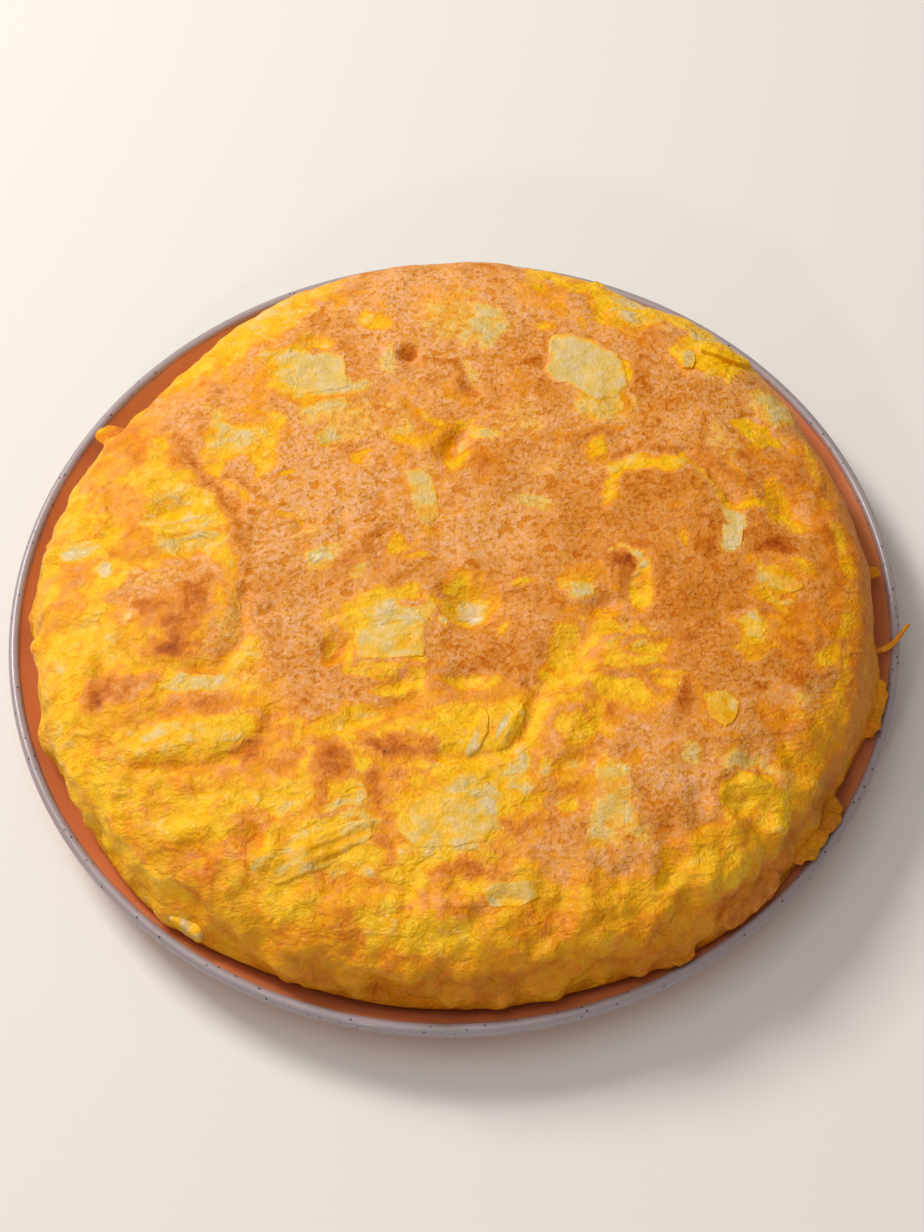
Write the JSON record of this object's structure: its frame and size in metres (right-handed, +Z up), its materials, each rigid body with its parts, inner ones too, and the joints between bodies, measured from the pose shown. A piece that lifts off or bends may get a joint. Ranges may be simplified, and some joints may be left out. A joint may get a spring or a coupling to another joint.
{
  "type": "spanish omelette",
  "caption": "Thick round potato omelette with a browned, pitted top and ragged edge, lying whole on a shallow terracotta plate that stands on its flat foot.",
  "frame": {"origin": "middle of the plate's flat foot, on the surface that it stands on", "axes": "+Z up through the plate and the omelette; -Y towards the side that was nearest in the picture; +X to its right"},
  "size_m": [0.2619, 0.26, 0.0472],
  "materials": {
    "plate": "clear glaze over terracotta, with a bare grey speckled lip",
    "egg": "set egg, moist and satin, browned on top",
    "potato": "boiled potato, moist",
    "onion": "soft cooked onion, glossy"
  },
  "bodies": {
    "root": {"plate": "plate", "omelette": "egg", "potato_chip_right": "potato", "potato_chunk_base": "potato", "potato_chunk_centre": "potato", "potato_dice_right": "potato", "potato_dice_small": "potato", "potato_slab_back": "potato", "potato_slab_front": "potato", "potato_slab_side": "potato", "potato_slice_front": "potato", "potato_slice_large": "potato", "potato_slice_middle": "potato", "potato_slice_right": "potato", "potato_strip_front": "potato", "onion_layer_front": "onion", "onion_petal_inner": "onion", "onion_petal_outer": "onion", "onion_ring_rim": "onion", "onion_strip_rim": "onion"}
  },
  "joints": []
}
